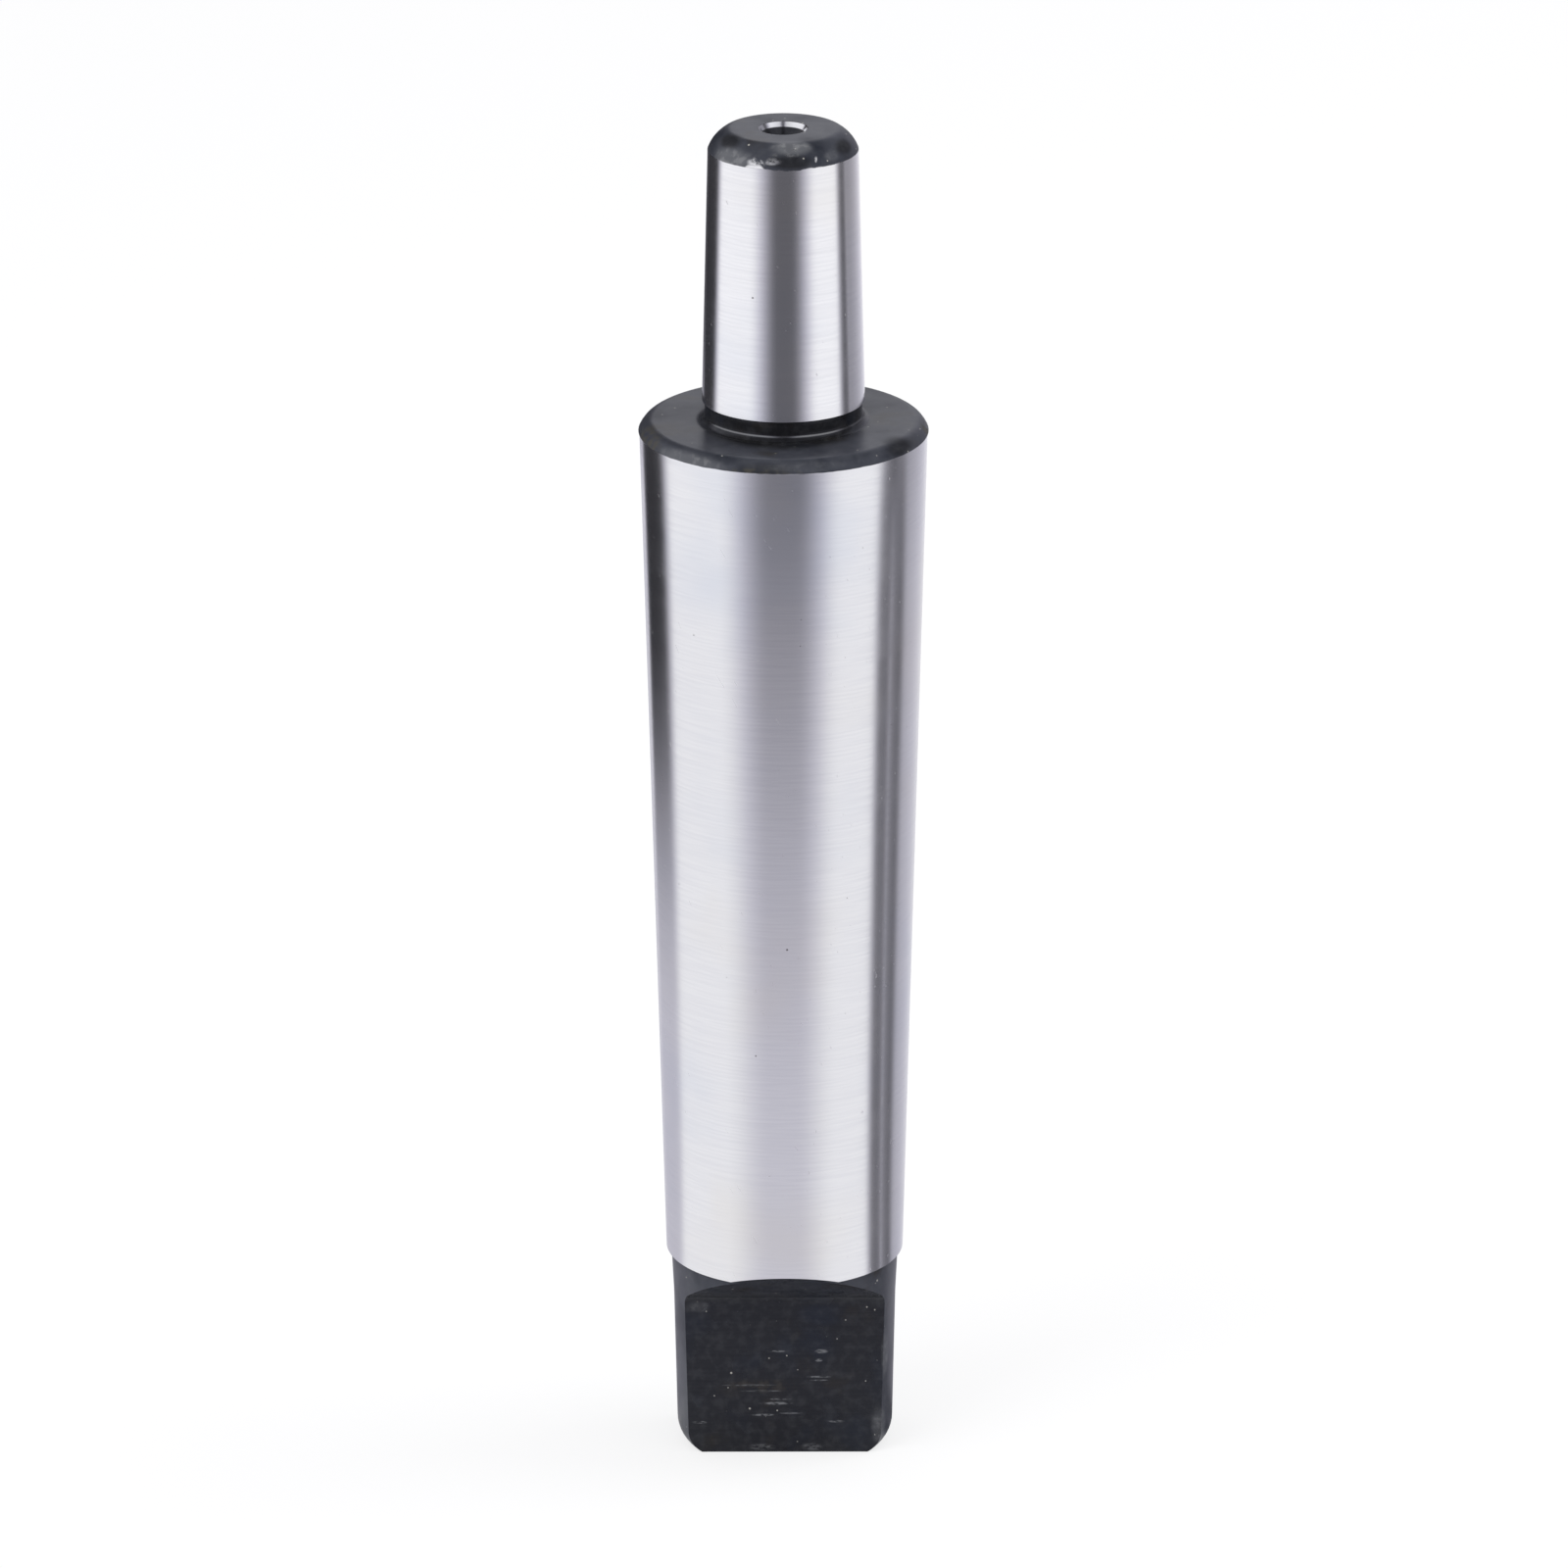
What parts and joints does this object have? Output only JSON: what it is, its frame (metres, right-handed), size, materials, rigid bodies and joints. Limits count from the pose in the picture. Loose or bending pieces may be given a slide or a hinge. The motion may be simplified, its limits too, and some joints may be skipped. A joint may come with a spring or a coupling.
{
  "type": "drill chuck arbor",
  "caption": "One-piece steel drill chuck arbor: long Morse taper shank with a flat tang, shoulder, and a short taper nose for the chuck.",
  "frame": {"origin": "centre of the tang's end face, on the axis, where the arbor stands", "axes": "+Z along the axis from the tang to the chuck taper; +Y square to the tang's flats; +X across the width of the flats"},
  "size_m": [0.0316, 0.0314, 0.1523],
  "materials": {
    "steel": "ground bright on the two tapers, black oxide on the tang, shoulder, undercut and end"
  },
  "bodies": {
    "root": {"arbor": "steel"}
  },
  "joints": []
}
